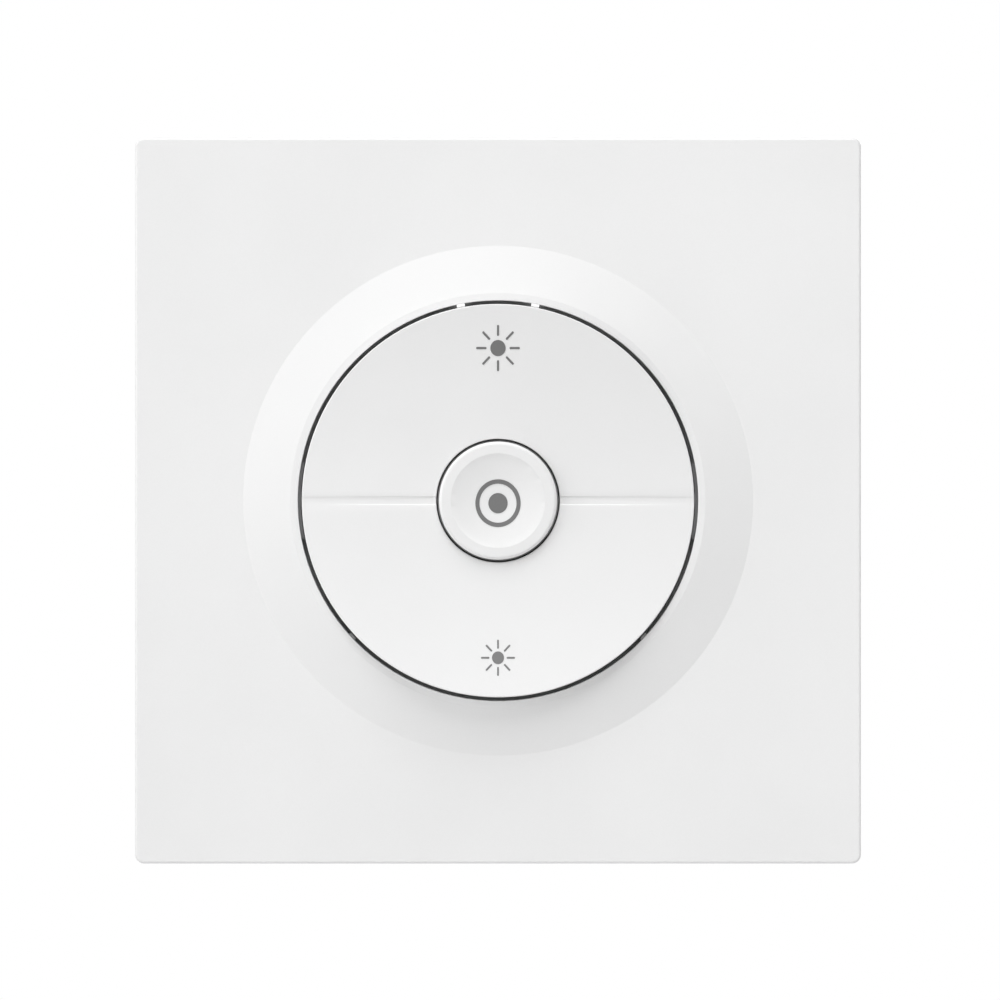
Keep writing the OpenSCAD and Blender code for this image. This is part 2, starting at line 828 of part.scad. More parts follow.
module status_led() {
    color("ivory") on_wall() translate([0, led_y, 0]) slab(led_size[0], led_size[1], board_front, board_front + led_size[2]);
}

// Chip of the control board, with a cut corner that marks its first leg
module control_chip() {
    side = 6;
    height = 0.9;
    chip_at = [9, 6];
    color("dimgray") on_wall() translate([chip_at[0], chip_at[1], board_back - height]) linear_extrude(height) {
        polygon([[0, 0], [side, 0], [side, side - 1], [side - 1, side], [0, side]]);
    }
}

// Small radio board on the back of the control board, and the can over its parts
radio_at = [-8, -2];
radio_size = [13, 15, 0.8];
shield_size = [11, 10, 1.6];

module radio_board() {
    color("navy") on_wall() translate(radio_at) slab(radio_size[0], radio_size[1], board_back - radio_size[2], board_back);
}

module radio_shield() {
    sheet = 0.3;
    back = board_back - radio_size[2] - shield_size[2];
    color("silver") on_wall() translate([radio_at[0], radio_at[1] - 2, 0]) difference() {
        slab(shield_size[0], shield_size[1], back, back + shield_size[2]);
        slab(shield_size[0] - 2 * sheet, shield_size[1] - 2 * sheet, back + sheet, back + shield_size[2] + eps);
    }
}

// Header between the two boards: eight square pins in a socket
pin_rows = 2;
pins_per_row = 4;
header_pitch = 2;
header_y = 14.6;
header_pin = 0.6;
header_w = header_pitch * pins_per_row;
header_h = header_pitch * pin_rows;
header_base_t = 1.6;
socket_t = 4;

// Copies what it holds to each pin of the header
module at_pins() {
    for (i = [0 : pins_per_row - 1], j = [0 : pin_rows - 1]) {
        translate([header_pitch * (i - (pins_per_row - 1) / 2), header_y + header_pitch * (j - (pin_rows - 1) / 2), 0]) {
            children();
        }
    }
}

module header_socket() {
    back = board_back - socket_t;
    color("dimgray") on_wall() difference() {
        translate([0, header_y, 0]) slab(header_w, header_h, back, board_back);
        at_pins() slab(header_pin + fit, header_pin + fit, back - eps, board_back - 0.6);
    }
}

module pin_header() {
    color("dimgray") on_wall() union() {
        translate([0, header_y, 0]) slab(header_w, header_h, power_front, power_front + header_base_t);
        at_pins() slab(header_pin, header_pin, power_front + header_base_t / 2, board_back - 1);
    }
}

// Power stage: two transistors screwed to a bent aluminium sheet
sink_y = board_w / 2 - 3.2;
sink_t = 1.2;
sink_w = 26;
sink_foot = 2.4;
transistor_x = 7;
transistor_size = [9, 3.6, 6];
transistor_lift = 0.6;
leg_pitch = 2.5;
sink_screw_d = 1.6;
sink_screw_head_d = 2.8;
sink_screw_head_t = 0.8;
sink_screw_z = power_front + transistor_lift + transistor_size[2] - 1.7;

module heat_sink() {
    height = board_gap - 2;
    color("silver") on_wall() difference() {
        translate([0, -sink_y, power_front]) rotate([90, 0, 90]) linear_extrude(sink_w, center = true) polygon([
            [0, 0], [0, height], [-sink_t, height], [-sink_t, sink_t], [-sink_t, 0]
        ]);
        for (side = [-1, 1]) {
            translate([side * transistor_x, -sink_y + eps, sink_screw_z]) {
                rotate([90, 0, 0]) cylinder(d = sink_screw_d + 2 * fit, h = sink_t + 2 * eps);
            }
        }
    }
}

// Power transistor with three legs and a hole for its screw
module power_transistor(x) {
    body_back = power_front + transistor_lift;
    color("dimgray") on_wall() translate([x, -sink_y, 0]) difference() {
        union() {
            translate([0, transistor_size[1] / 2, 0]) slab(transistor_size[0], transistor_size[1], body_back, body_back + transistor_size[2]);
            for (leg = [-leg_pitch, 0, leg_pitch]) {
                translate([leg, transistor_size[1] / 2, 0]) slab(0.8, 0.5, power_front, body_back + 0.1);
            }
        }
        translate([0, transistor_size[1] + eps, sink_screw_z]) {
            rotate([90, 0, 0]) cylinder(d = sink_screw_d + 2 * fit, h = transistor_size[1] + 2 * eps);
        }
    }
}

module power_transistor_left() {
    power_transistor(-transistor_x);
}

module power_transistor_right() {
    power_transistor(transistor_x);
}

module heat_sink_screws() {
    color("silver") on_wall() for (side = [-1, 1]) {
        translate([side * transistor_x, transistor_size[1] - sink_y, sink_screw_z]) rotate([90, 0, 0]) union() {
            cylinder(d = sink_screw_d, h = transistor_size[1] + sink_t);
            translate([0, 0, -sink_screw_head_t]) cylinder(d = sink_screw_head_d, h = sink_screw_head_t);
        }
    }
}

// Noise filter: a ring core that lies on the board, wound with thick wire
choke_at = [-9.5, 9.5];
choke_out_r = 5;
choke_in_r = 2.4;
choke_t = 3.6;
choke_wire = 0.7;
choke_turns = 14;

module choke_core() {
    color("dimgray") on_wall() translate([choke_at[0], choke_at[1], 0]) {
        tube(choke_out_r, choke_in_r, power_front + choke_wire + 0.05, power_front + choke_wire + 0.05 + choke_t);
    }
}

module choke_winding() {
    gap = 0.05;
    r0 = choke_in_r - gap - choke_wire;
    r1 = choke_out_r + gap + choke_wire;
    z1 = power_front + 2 * choke_wire + 2 * gap + choke_t;
    color("sienna") on_wall() translate([choke_at[0], choke_at[1], 0]) {
        for (i = [0 : choke_turns - 1]) {
            rotate([0, 0, i * 300 / (choke_turns - 1)]) difference() {
                slab_from(r0, r1, choke_wire * 0.7, power_front, z1);
                slab_from(r0 + choke_wire, r1 - choke_wire, choke_wire, power_front + choke_wire, z1 - choke_wire);
            }
        }
    }
}

// Box capacitor, with rounded upright edges
film_at = [-12, -3.4];
film_size = [12, 5, 5.6];

module film_capacitor() {
    color("goldenrod") on_wall() translate([film_at[0], film_at[1], power_front]) {
        linear_extrude(film_size[2]) rounded_rect(film_size[0], film_size[1], 0.5);
    }
}

// Round capacitor that lies on the board, with its crimp and a rubber plug
bulk_at = [2, -5.4];
bulk_d = 7.2;
bulk_len = 12;

module bulk_capacitor() {
    r = bulk_d / 2;
    len = bulk_len;
    color("black") on_wall() translate([bulk_at[0], bulk_at[1], power_front + r]) rotate([0, 90, 0]) rotate_extrude() polygon([
        [0, 0], [r - 0.6, 0], [r, 0.4], [r, 1.6], [r - 0.4, 2], [r, 2.4], [r, len - 0.3], [r - 0.3, len], [0, len]
    ]);
}

// Disc that clips voltage peaks, standing on its two leads
varistor_d = 6.4;
varistor_t = 2.6;
varistor_at = [board_w / 2 - varistor_t, -4.5];
lead_d = 0.6;

module varistor() {
    lift = varistor_d / 2 + lead_d;
    color("royalblue") on_wall() translate([varistor_at[0], varistor_at[1], power_front]) union() {
        translate([0, 0, lift]) rotate([0, 90, 0]) cylinder(d = varistor_d, h = varistor_t, center = true);
        for (side = [-1, 1]) {
            translate([0, side * varistor_d * 0.28, 0]) slab(lead_d, lead_d, 0, lift / 2);
        }
    }
}

// Fuse in a plain moulded block
fuse_at = [-2.2, -5.4];
fuse_size = [4, 8, 5];

module fuse() {
    color("white") on_wall() translate([fuse_at[0], fuse_at[1], power_front]) {
        linear_extrude(fuse_size[2]) rounded_rect(fuse_size[0], fuse_size[1], 0.4);
    }
}

// Small transformer of the supply: a ferrite frame round a coil former
transformer_at = [9.5, 8.4];
core_w = 12;
core_d = 6;
core_h = 5.8;
core_yoke = 1.2;
core_leg = 3;
core_side_leg = 1.5;
core_back = power_front + 0.6;
window_w = (core_w - core_leg) / 2 - core_side_leg;

module transformer_core() {
    color("dimgray") on_wall() translate([transformer_at[0], transformer_at[1], 0]) difference() {
        slab(core_w, core_d, core_back, core_back + core_h);
        for (side = [-1, 1]) {
            translate([side * (core_leg + window_w) / 2, 0, 0]) {
                slab(window_w, core_d + 2 * eps, core_back + core_yoke, core_back + core_h - core_yoke);
            }
        }
    }
}

module transformer_coil() {
    back = core_back + core_yoke + fit;
    front = core_back + core_h - core_yoke - fit;
    side_w = core_leg + 2 * window_w - 2 * fit;
    wrap = 1.3;
    color("gold") on_wall() translate([transformer_at[0], transformer_at[1], 0]) union() {
        difference() {
            slab(side_w, core_d + 2 * wrap, back, front);
            slab(core_leg + 2 * fit, core_d + 2 * fit, back - eps, front + eps);
        }
        for (side = [-1, 1]) {
            translate([0, side * (core_d + wrap + fit) / 2, 0]) slab(side_w - 1, wrap - 2 * fit, power_front, front);
        }
    }
}

// Moves what it holds to terminal i, counted from the left as seen from the room
module at_terminal(i) {
    translate([wire_x0 + (i - 1) * terminal_pitch, 0, 0]) children();
}

// Copper bar that a wire is pressed against, bent over onto the power board
module bus_bar(i) {
    back = cover_front + 0.6;
    foot = 2;
    color("peru") on_wall() at_terminal(i) rotate([90, 0, 90]) linear_extrude(bar_w, center = true) polygon([
        [bar_y, back],
        [bar_y + bar_t, back],
        [bar_y + bar_t, power_back - bar_t],
        [bar_y + bar_t + foot, power_back - bar_t],
        [bar_y + bar_t + foot, power_back],
        [bar_y, power_back]
    ]);
}

// Bent steel strip that grips a wire against its bus bar
module clamp_spring(i) {
    tip_y = bar_y + bar_t + fit;
    rise = (power_back - spring_back) * 0.52;
    color("silver") on_wall() at_terminal(i) rotate([90, 0, 90]) linear_extrude(spring_w, center = true) polygon([
        [spring_y, spring_back],
        [spring_y + spring_t, spring_back],
        [spring_y + spring_t, power_back],
        [spring_y - 1.6, power_back],
        [spring_y - 1.6, power_back - spring_t],
        [spring_y, power_back - spring_t],
        [spring_y, spring_back + 2 * spring_t],
        [tip_y, spring_back + rise + spring_t],
        [tip_y, spring_back + rise]
    ]);
}

// Release button: pushed in, it lifts the clamp spring off the wire
module release_button(i) {
    back = -body_depth - release_proud;
    flange = 0.7;
    color("orange") on_wall() at_terminal(i) translate([0, release_y, 0]) difference() {
        union() {
            slab(release_w, release_w, back, release_front);
            slab(release_w + 2 * flange, release_w, cover_front + fit, cover_front + fit + release_flange_t);
        }
        slab(release_w * 0.6, 0.6, back - eps, back + 0.5);
    }
}

cover_plate();
rocker_key();
centre_button();
front_housing();
light_guide();
keypad_mat();
support_frame();
rear_housing();
terminal_cover();
housing_screws();
control_board();
status_led();
control_chip();
radio_board();
radio_shield();
header_socket();
pin_header();
power_board();
heat_sink();
power_transistor_left();
power_transistor_right();
heat_sink_screws();
choke_core();
choke_winding();
film_capacitor();
bulk_capacitor();
varistor();
fuse();
transformer_core();
transformer_coil();
bus_bar(1);  // bus_bar_1
bus_bar(2);  // bus_bar_2
bus_bar(3);  // bus_bar_3
bus_bar(4);  // bus_bar_4
clamp_spring(1);  // clamp_spring_1
clamp_spring(2);  // clamp_spring_2
clamp_spring(3);  // clamp_spring_3
clamp_spring(4);  // clamp_spring_4
release_button(1);  // release_button_1
release_button(2);  // release_button_2
release_button(3);  // release_button_3
release_button(4);  // release_button_4
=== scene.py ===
"""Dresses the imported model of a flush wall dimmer: finishes, the prints on its keys, light and camera."""

from __future__ import annotations

import json
import logging
import math
from dataclasses import dataclass
from enum import Enum
from typing import Any, Protocol

import bpy
from mathutils import Matrix, Vector

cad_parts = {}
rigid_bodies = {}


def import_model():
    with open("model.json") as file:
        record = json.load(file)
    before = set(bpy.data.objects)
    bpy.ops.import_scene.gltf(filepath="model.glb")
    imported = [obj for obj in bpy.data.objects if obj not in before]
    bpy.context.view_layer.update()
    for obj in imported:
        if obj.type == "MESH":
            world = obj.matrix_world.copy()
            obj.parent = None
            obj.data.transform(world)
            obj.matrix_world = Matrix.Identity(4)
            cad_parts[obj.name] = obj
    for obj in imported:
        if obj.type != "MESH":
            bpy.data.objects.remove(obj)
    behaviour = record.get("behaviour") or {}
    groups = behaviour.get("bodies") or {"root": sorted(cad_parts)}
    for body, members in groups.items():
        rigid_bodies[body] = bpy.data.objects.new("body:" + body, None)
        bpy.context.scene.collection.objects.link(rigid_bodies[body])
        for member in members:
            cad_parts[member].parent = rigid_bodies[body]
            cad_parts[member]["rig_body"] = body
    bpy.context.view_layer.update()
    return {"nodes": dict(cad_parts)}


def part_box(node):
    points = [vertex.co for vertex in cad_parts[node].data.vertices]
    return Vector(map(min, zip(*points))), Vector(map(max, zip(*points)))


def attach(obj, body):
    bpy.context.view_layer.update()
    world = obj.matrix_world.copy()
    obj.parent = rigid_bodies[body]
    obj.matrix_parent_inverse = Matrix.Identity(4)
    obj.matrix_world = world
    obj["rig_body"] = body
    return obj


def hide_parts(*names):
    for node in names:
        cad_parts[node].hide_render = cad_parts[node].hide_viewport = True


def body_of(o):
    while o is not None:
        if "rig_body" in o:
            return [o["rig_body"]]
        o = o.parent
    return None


LOG = logging.getLogger("dimmer")
MM = 0.001
TERMINALS = range(1, 5)
SMALL_CIRCLE, LARGE_CIRCLE = 48, 96  # vertices
PLASTIC_IOR = 1.46
WAVE_PITCH = 0.314  # a wave texture's bands stand this far apart at a scale of 1

Triple = tuple[float, float, float]
Colour = Triple
WHITE: Colour = (1.0, 1.0, 1.0)
UNSTRETCHED: Triple = (1.0, 1.0, 1.0)
UNTURNED: Triple = (0.0, 0.0, 0.0)
UPRIGHT: Triple = (math.pi / 2, 0.0, 0.0)
UPRIGHT_FROM_BEHIND: Triple = (math.pi / 2, 0.0, math.pi)


def spaced(sockets: dict[str, Any]) -> dict[str, Any]:
    """Returns the same sockets under Blender's names, with spaces for underscores."""
    return {key.replace("_", " "): given for key, given in sockets.items()}


def shade(colour: Colour, share: float) -> Colour:
    """Returns a darker or lighter colour, no lighter than white."""
    return tuple(min(1.0, channel * share) for channel in colour)


class Shape(Enum):
    """How a pattern's value runs between its two limits."""

    LINEAR = "LINEAR"
    SMOOTH = "SMOOTHSTEP"


class Pattern(Enum):
    """Textures that a finish is woven from, by Blender's node type."""

    NOISE = "ShaderNodeTexNoise"
    CELLS = "ShaderNodeTexVoronoi"
    WAVES = "ShaderNodeTexWave"
    BRICKS = "ShaderNodeTexBrick"

    @property
    def grey(self) -> int:
        """The number of the node's grey output."""
        return 1 if self in (Pattern.WAVES, Pattern.BRICKS) else 0


class Value:
    """A shader value that ordinary arithmetic turns into Math nodes."""

    def __init__(self, paint: Paint, socket: bpy.types.NodeSocket) -> None:
        """Keeps the socket and the paint whose nodes it belongs to."""
        self.paint = paint
        self.socket = socket

    def _math(self, operation: str, first: Any, second: Any) -> Value:
        """Adds one Math node.

        Args:
            operation: The node's operation.
            first: A value or a number.
            second: A value or a number.

        Returns:
            The result as a value.
        """
        return self.paint.value("ShaderNodeMath", {"operation": operation}, {0: first, 1: second})

    def __add__(self, other: Any) -> Value:
        """Returns self + other."""
        return self._math("ADD", self, other)

    def __rsub__(self, other: Any) -> Value:
        """Returns other - self."""
        return self._math("SUBTRACT", other, self)

    def __mul__(self, other: Any) -> Value:
        """Returns self * other."""
        return self._math("MULTIPLY", self, other)

    def ramp(self, low: float, high: float, to_low: float = 0.0, to_high: float = 1.0,
             shape: Shape = Shape.SMOOTH) -> Value:
        """Maps this value from one range to another.

        Args:
            low: The value that becomes to_low.
            high: The value that becomes to_high.
            to_low: The new low end.
            to_high: The new high end.
            shape: How it runs between the two.

        Returns:
            The mapped value.
        """
        sockets = {"Value": self, "From Min": low, "From Max": high, "To Min": to_low, "To Max": to_high}
        return self.paint.value("ShaderNodeMapRange", {"interpolation_type": shape.value}, sockets)


class Paint:
    """The nodes of a material, or of the world, under construction."""

    def __init__(self, name: str, store: Any = None) -> None:
        """Starts an empty node tree.

        Args:
            name: The name of its material or world.
            store: Where Blender keeps such blocks, or none for the materials.
        """
        self.block = (bpy.data.materials if store is None else store).new(name)
        self.block.use_nodes = True
        self.tree = self.block.node_tree
        self.tree.nodes.clear()

    def node(self, kind: str, settings: dict[str, Any] | None = None,
             inputs: dict[str | int, Any] | None = None) -> bpy.types.Node:
        """Adds any node.

        Args:
            kind: The node's type.
            settings: Its properties, set first.
            inputs: Its sockets by name or number, each a value, a socket or a constant.

        Returns:
            The new node.
        """
        made = self.tree.nodes.new(kind)
        for key, setting in (settings or {}).items():
            setattr(made, key, setting)
        for key, given in (inputs or {}).items():
            socket = made.inputs[key]
            if isinstance(given, Value):
                given = given.socket
            if isinstance(given, bpy.types.NodeSocket):
                self.tree.links.new(given, socket)
            elif socket.type == "RGBA":
                socket.default_value = (*given, 1.0)
            else:
                socket.default_value = given
        return made

    def value(self, kind: str, settings: dict[str, Any] | None = None,
              inputs: dict[str | int, Any] | None = None, output: int = 0) -> Value:
        """Adds a node and returns one of its outputs as a value."""
        return Value(self, self.node(kind, settings, inputs).outputs[output])

    def place(self, stretch: Triple = UNSTRETCHED, turn: Triple = UNTURNED) -> bpy.types.NodeSocket:
        """Returns the Object coordinates, stretched and turned about the object's origin."""
        spot = self.node("ShaderNodeTexCoord").outputs["Object"]
        if (stretch, turn) == (UNSTRETCHED, UNTURNED):
            return spot
        sockets = {"Vector": spot, "Scale": stretch, "Rotation": turn}
        return self.node("ShaderNodeMapping", None, sockets).outputs[0]

    def pattern(self, kind: Pattern, size_mm: float, settings: dict[str, Any] | None = None,
                spot: bpy.types.NodeSocket | None = None, **sockets: Any) -> Value:
        """Adds a texture.

        Args:
            kind: The texture.
            size_mm: The size of its pattern.
            settings: The node's properties.
            spot: Its coordinates, or none for the object's own.
            sockets: Its other sockets, with underscores for spaces.

        Returns:
            The texture's grey as a value.
        """
        where = {"Vector": self.place() if spot is None else spot, "Scale": 1.0 / (size_mm * MM)}
        return self.value(kind.value, settings, where | spaced(sockets), kind.grey)

    def noise(self, size_mm: float, detail: float = 2.0, roughness: float = 0.5,
              stretch: Triple = UNSTRETCHED) -> Value:
        """Adds a noise whose blobs are about size_mm wide."""
        return self.pattern(Pattern.NOISE, size_mm, spot=self.place(stretch),
                            Detail=detail, Roughness=roughness)

    def blend(self, share: Any, first: Any, second: Any) -> bpy.types.NodeSocket:
        """Mixes two colours.

        Args:
            share: How much of the second shows, from 0 to 1.
            first: A colour or a colour socket.
            second: A colour or a colour socket.

        Returns:
            The mixed colour's socket.
        """
        return self.node("ShaderNodeMix", {"data_type": "RGBA"}, {0: share, 6: first, 7: second}).outputs[2]

    def bump(self, height: Value, depth_mm: float) -> bpy.types.NodeSocket:
        """Turns a height from 0 to 1 into a normal.

        Args:
            height: The height.
            depth_mm: What a height of 1 means.

        Returns:
            The normal's socket.
        """
        return self.node("ShaderNodeBump", None, {"Height": height, "Distance": depth_mm * MM}).outputs[0]

    def finish(self, **sockets: Any) -> bpy.types.Material:
        """Adds the surface shader and the output.

        Args:
            sockets: The shader's sockets, with underscores for spaces.

        Returns:
            The finished material.
        """
        shader = self.node("ShaderNodeBsdfPrincipled", None, {"IOR": PLASTIC_IOR} | spaced(sockets))
        self.node("ShaderNodeOutputMaterial", None, {"Surface": shader.outputs[0]})
        return self.block


class Finish(Protocol):
    """Anything that makes one material."""

    @property
    def name(self) -> str:
        """The material's name."""

    def make(self) -> bpy.types.Material:
        """Returns the material."""


@dataclass(frozen=True)
class MouldedPlastic:
    """Injection-moulded plastic with a fine eroded texture and a faint flow in its colour."""

    name: str
    colour: Colour
    roughness: float = 0.42
    grain_mm: float = 0.16
    grain_depth_mm: float = 0.004
    flow: float = 0.02
    dust: float = 0.0
    flow_mm: float = 22.0
    cloud_mm: float = 3.5

    def make(self) -> bpy.types.Material:
        """Returns the material."""
        paint = Paint(self.name)
        flow = paint.noise(self.flow_mm)
        cloud = paint.noise(self.cloud_mm, detail=3.0)
        grain = paint.noise(self.grain_mm, detail=3.0, roughness=0.6)
        fine = paint.noise(self.grain_mm * 3.5)
        darker = shade(self.colour, 1.0 - 2.0 * self.flow)
        tone = paint.blend(flow.ramp(0.3, 0.7) * 0.6 + grain.ramp(0.35, 0.65) * 0.25, self.colour, darker)
        if self.dust > 0.0:
            grime = cloud.ramp(0.55, 0.8) * fine.ramp(0.4, 0.7) * self.dust
            tone = paint.blend(grime, tone, shade(self.colour, 0.72))
        gloss = cloud.ramp(0.25, 0.75, self.roughness - 0.03, self.roughness + 0.03) + grain * 0.04
        return paint.finish(Base_Color=tone, Roughness=gloss,
                            Normal=paint.bump(grain * 0.7 + fine * 0.3, self.grain_depth_mm))


@dataclass(frozen=True)
class PressedSteel:
    """Rolled sheet or drawn wire of plated metal, with its rolling lines and a mottled coat."""

    name: str
    colour: Colour
    roughness: float = 0.34
    along: Triple = (0.05, 1.0, 1.0)
    line_mm: float = 0.12
    spangle: float = 0.25
    spangle_mm: float = 2.6
    cloud_mm: float = 7.0

    def make(self) -> bpy.types.Material:
        """Returns the material."""
        paint = Paint(self.name)
        lines = paint.noise(self.line_mm, detail=4.0, roughness=0.6, stretch=self.along)
        cells = paint.pattern(Pattern.CELLS, self.spangle_mm)
        cloud = paint.noise(self.cloud_mm, detail=3.0)
        mottle = cells.ramp(0.1, 0.7) * self.spangle + cloud.ramp(0.3, 0.7) * 0.3
        tone = paint.blend(mottle, self.colour, shade(self.colour, 0.84))
        gloss = lines.ramp(0.3, 0.7, self.roughness - 0.08, self.roughness + 0.1) + mottle * 0.08
        return paint.finish(Base_Color=tone, Metallic=1.0, Roughness=gloss, Normal=paint.bump(lines, 0.006))


@dataclass(frozen=True)
class Silicone:
    """Matt moulded rubber with a bloom of dust."""

    name: str
    colour: Colour
    bloom_mm: float = 1.8
    pore_mm: float = 0.12

    def make(self) -> bpy.types.Material:
        """Returns the material."""
        paint = Paint(self.name)
        bloom = paint.noise(self.bloom_mm, detail=4.0, roughness=0.65)
        pores = paint.noise(self.pore_mm)
        tone = paint.blend(bloom.ramp(0.45, 0.75) * 0.35, self.colour, shade(self.colour, 1.6))
        return paint.finish(Base_Color=tone, Roughness=bloom.ramp(0.3, 0.7, 0.62, 0.78),
                            Normal=paint.bump(pores, 0.01))


@dataclass(frozen=True)
class CircuitBoard:
    """Solder mask over copper tracks, with rows of tinned pads and a faint weave of glass."""

    name: str
    mask: Colour
    track: Colour
    pad: Colour = (0.72, 0.72, 0.7)
    cell_mm: float = 2.54
    cells_across: float = 8.0
    weave_mm: float = 4.0
    patch_mm: float = 9.0

    def make(self) -> bpy.types.Material:
        """Returns the material."""
        paint = Paint(self.name)
        weave = paint.pattern(Pattern.WAVES, self.weave_mm, {"bands_direction": "DIAGONAL"}, Distortion=1.5)
        tracks = paint.pattern(
            Pattern.BRICKS, self.cells_across * self.cell_mm,
            {"offset": 0.37, "squash": 1.6, "squash_frequency": 3}, paint.place(turn=UPRIGHT),
            Mortar_Size=0.045, Mortar_Smooth=0.1, Brick_Width=0.62, Row_Height=0.13)
        dots = paint.pattern(Pattern.CELLS, self.cell_mm, Randomness=0.0)
        patches = paint.noise(self.patch_mm, detail=1.0).ramp(0.52, 0.55)
        pads = dots.ramp(0.2, 0.23, 1.0, 0.0) * patches
        tone = paint.blend(tracks * 0.75, self.mask, self.track)
        tone = paint.blend(weave.ramp(0.4, 0.9) * 0.12, tone, self.track)
        tone = paint.blend(pads, tone, self.pad)
        relief = tracks * 0.5 + pads * 0.6
        return paint.finish(Base_Color=tone, Roughness=0.32 - pads * 0.04 + weave * 0.05,
                            Metallic=pads * 0.85, Normal=paint.bump(relief, 0.03))


@dataclass(frozen=True)
class Ferrite:
    """Sintered ceramic: nearly black, with a dense speckle and small chips."""

    name: str
    colour: Colour = (0.045, 0.045, 0.05)
    speck: Colour = (0.16, 0.16, 0.17)
    speck_mm: float = 0.09
    chip_mm: float = 0.9

    def make(self) -> bpy.types.Material:
        """Returns the material."""
        paint = Paint(self.name)
        speckle = paint.noise(self.speck_mm, detail=3.0, roughness=0.7)
        chips = paint.pattern(Pattern.CELLS, self.chip_mm)
        tone = paint.blend(speckle.ramp(0.5, 0.75) * 0.5, self.colour, self.speck)
        return paint.finish(Base_Color=tone, Roughness=speckle.ramp(0.3, 0.7, 0.5, 0.7),
                            Normal=paint.bump(speckle * 0.6 + chips.ramp(0.0, 0.25) * 0.4, 0.02))


@dataclass(frozen=True)
class Copper:
    """Copper, bare or under enamel, with drawn lines and darker, handled patches."""

    name: str
    colour: Colour
    tarnish: Colour
    roughness: float = 0.3
    enamel: float = 0.0
    patch_mm: float = 2.4
    line_mm: float = 0.08

    def make(self) -> bpy.types.Material:
        """Returns the material."""
        paint = Paint(self.name)
        patches = paint.noise(self.patch_mm, detail=4.0, roughness=0.6)
        lines = paint.noise(self.line_mm, detail=3.0, roughness=0.6, stretch=(1.0, 0.08, 1.0))
        tone = paint.blend(patches.ramp(0.45, 0.75) * 0.7, self.colour, self.tarnish)
        return paint.finish(Base_Color=tone, Metallic=1.0 - 0.35 * self.enamel, Coat_Weight=self.enamel,
                            Roughness=patches.ramp(0.2, 0.8, self.roughness, self.roughness + 0.16),
                            Normal=paint.bump(lines, 0.004))


@dataclass(frozen=True)
class ClearPlastic:
    """Light-guide plastic: frosted where the mould was eroded, with a faint painted glow that lightens it in
    the shaded gaps, though no lamp lights it.
    """

    name: str
    colour: Colour
    # Strength of the painted glow.
    painted_glow: float = 0.2
    frost_mm: float = 0.1
    cloud_mm: float = 2.0

    def make(self) -> bpy.types.Material:
        """Returns the material."""
        paint = Paint(self.name)
        frost = paint.noise(self.frost_mm, detail=3.0)
        cloud = paint.noise(self.cloud_mm)
        tone = paint.blend(cloud.ramp(0.35, 0.7) * 0.15, self.colour, shade(self.colour, 0.93))
        # The emission is a painted glow: it lightens the guide's ticks in the shaded gap round the key,
        # though no lamp is lit inside.
        return paint.finish(Base_Color=tone, Roughness=frost.ramp(0.3, 0.7, 0.22, 0.38),
                            Transmission_Weight=0.1, Emission_Color=tone, Emission_Strength=self.painted_glow,
                            Normal=paint.bump(frost, 0.003))


@dataclass(frozen=True)
class DippedCoat:
    """Thick epoxy or shrink sleeve round a component: glossy, with an orange-peel skin.

    It may carry one band of another colour, between two heights.
    """

    name: str
    colour: Colour
    band: Colour | None = None
    band_mm: tuple[float, float] = (0.0, 0.0)
    blur_mm: float = 0.05
    peel_mm: float = 0.7
    cloud_mm: float = 2.2

    def make(self) -> bpy.types.Material:
        """Returns the material."""
        paint = Paint(self.name)
        peel = paint.noise(self.peel_mm)
        cloud = paint.noise(self.cloud_mm, detail=3.0)
        tone = paint.blend(cloud.ramp(0.3, 0.7) * 0.4, self.colour, shade(self.colour, 0.8))
        if self.band is not None:
            height = paint.value("ShaderNodeSeparateXYZ", None, {0: paint.place()}, output=2)
            blur = self.blur_mm * MM
            low, high = (edge * MM for edge in self.band_mm)
            banded = height.ramp(low, low + blur) * height.ramp(high, high + blur, 1.0, 0.0)
            tone = paint.blend(banded, tone, self.band)
        return paint.finish(Base_Color=tone, Roughness=cloud.ramp(0.3, 0.7, 0.22, 0.34), Coat_Weight=0.2,
                            Normal=paint.bump(peel, 0.02))


@dataclass(frozen=True)
class WoundTape:
    """Turns of polyester tape over a coil: thin edges one above the other."""

    name: str
    colour: Colour
    turn_mm: float = 0.45
    cloud_mm: float = 1.6

    def make(self) -> bpy.types.Material:
        """Returns the material."""
        paint = Paint(self.name)
        turns = paint.pattern(Pattern.WAVES, self.turn_mm / WAVE_PITCH,
                              {"bands_direction": "Y", "wave_profile": "SAW"}, Distortion=0.3, Detail=1.0)
        cloud = paint.noise(self.cloud_mm)
        edges = turns.ramp(0.75, 1.0) * 0.5 + cloud.ramp(0.4, 0.7) * 0.2
        tone = paint.blend(edges, self.colour, shade(self.colour, 0.62))
        return paint.finish(Base_Color=tone, Roughness=cloud.ramp(0.3, 0.7, 0.24, 0.36),
                            Normal=paint.bump(turns, 0.03))


@dataclass(frozen=True)
class PrintedInk:
    """Grey ink, pad-printed a few hundredths thick, with its faint screen."""

    name: str
    grey: float
    grain_mm: float = 0.12

    def make(self) -> bpy.types.Material:
        """Returns the material."""
        paint = Paint(self.name)
        colour = shade(WHITE, self.grey)
        grain = paint.noise(self.grain_mm, detail=3.0, roughness=0.6)
        tone = paint.blend(grain.ramp(0.4, 0.75) * 0.3, colour, shade(colour, 1.12))
        return paint.finish(Base_Color=tone, Roughness=grain.ramp(0.3, 0.7, 0.5, 0.6),
                            Normal=paint.bump(grain, 0.002))


